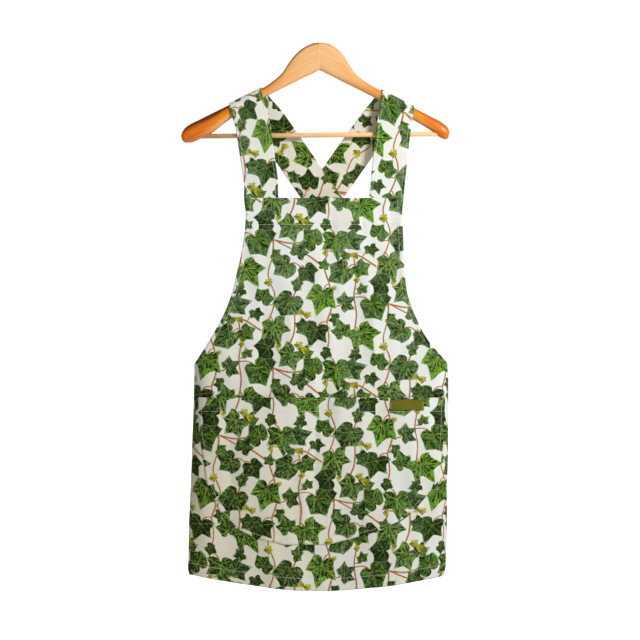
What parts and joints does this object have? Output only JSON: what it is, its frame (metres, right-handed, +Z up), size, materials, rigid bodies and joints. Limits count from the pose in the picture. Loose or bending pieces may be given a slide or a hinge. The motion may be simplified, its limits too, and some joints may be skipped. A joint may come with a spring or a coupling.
{
  "type": "gardening apron on a wooden clothes hanger",
  "caption": "Cross-back pinafore apron of leaf-printed cotton with a wide front pocket, hung by its straps on a wooden clothes hanger with a bar.",
  "frame": {"origin": "top of the hanger in the middle, where its two arms meet and where it hangs", "axes": "+Z up, -Y out of the apron's front, +X to the right seen from the front"},
  "size_m": [0.445, 0.0635, 0.9073],
  "materials": {
    "beech": "clear varnished beech",
    "printed_cotton": "plain woven cotton, printed with green leaves on off-white",
    "label_cotton": "olive woven tape"
  },
  "bodies": {
    "root": {"hanger_arm_left": "beech", "hanger_arm_right": "beech", "hanger_bar": "beech", "apron_body": "printed_cotton", "strap_left": "printed_cotton", "strap_right": "printed_cotton", "pocket": "printed_cotton", "label_tab": "label_cotton"}
  },
  "joints": []
}
